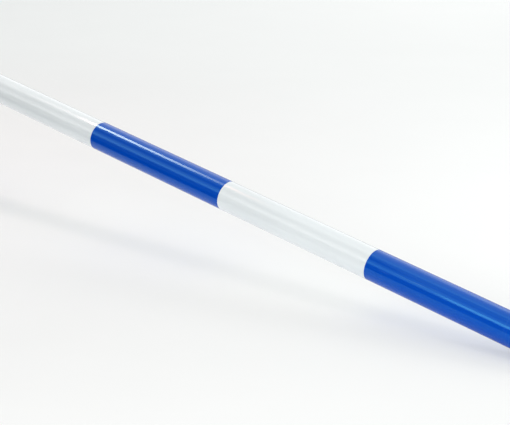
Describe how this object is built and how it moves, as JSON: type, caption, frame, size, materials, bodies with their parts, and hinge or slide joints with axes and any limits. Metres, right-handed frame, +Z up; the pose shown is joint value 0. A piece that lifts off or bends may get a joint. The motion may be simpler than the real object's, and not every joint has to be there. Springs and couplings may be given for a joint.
{
  "type": "show jump pole",
  "caption": "Round show jump pole: blue and white plastic sleeves in turn over a timber core, with a flush screwed cap closing each end. Rests across a pair of jump cups.",
  "frame": {"origin": "the middle of the pole's axis", "axes": "+X along the pole, towards its right end; +Z up"},
  "size_m": [3.012, 0.1, 0.1],
  "materials": {
    "softwood": "machine-rounded, unfinished",
    "blue_upvc": "gloss",
    "white_upvc": "gloss",
    "grey_upvc": "satin",
    "blue_polyethylene": "satin, moulded",
    "stainless_steel": "plain"
  },
  "bodies": {
    "root": {"timber_core": "softwood", "blue_sleeve_1": "blue_upvc", "white_sleeve_2": "white_upvc", "blue_sleeve_3": "blue_upvc", "white_sleeve_4": "white_upvc", "blue_sleeve_5": "blue_upvc", "joint_collar_1_2": "grey_upvc", "joint_collar_2_3": "grey_upvc", "joint_collar_3_4": "grey_upvc", "joint_collar_4_5": "grey_upvc", "left_end_cap": "blue_polyethylene", "right_end_cap": "blue_polyethylene", "left_cap_screws": "stainless_steel", "right_cap_screws": "stainless_steel"}
  },
  "joints": []
}
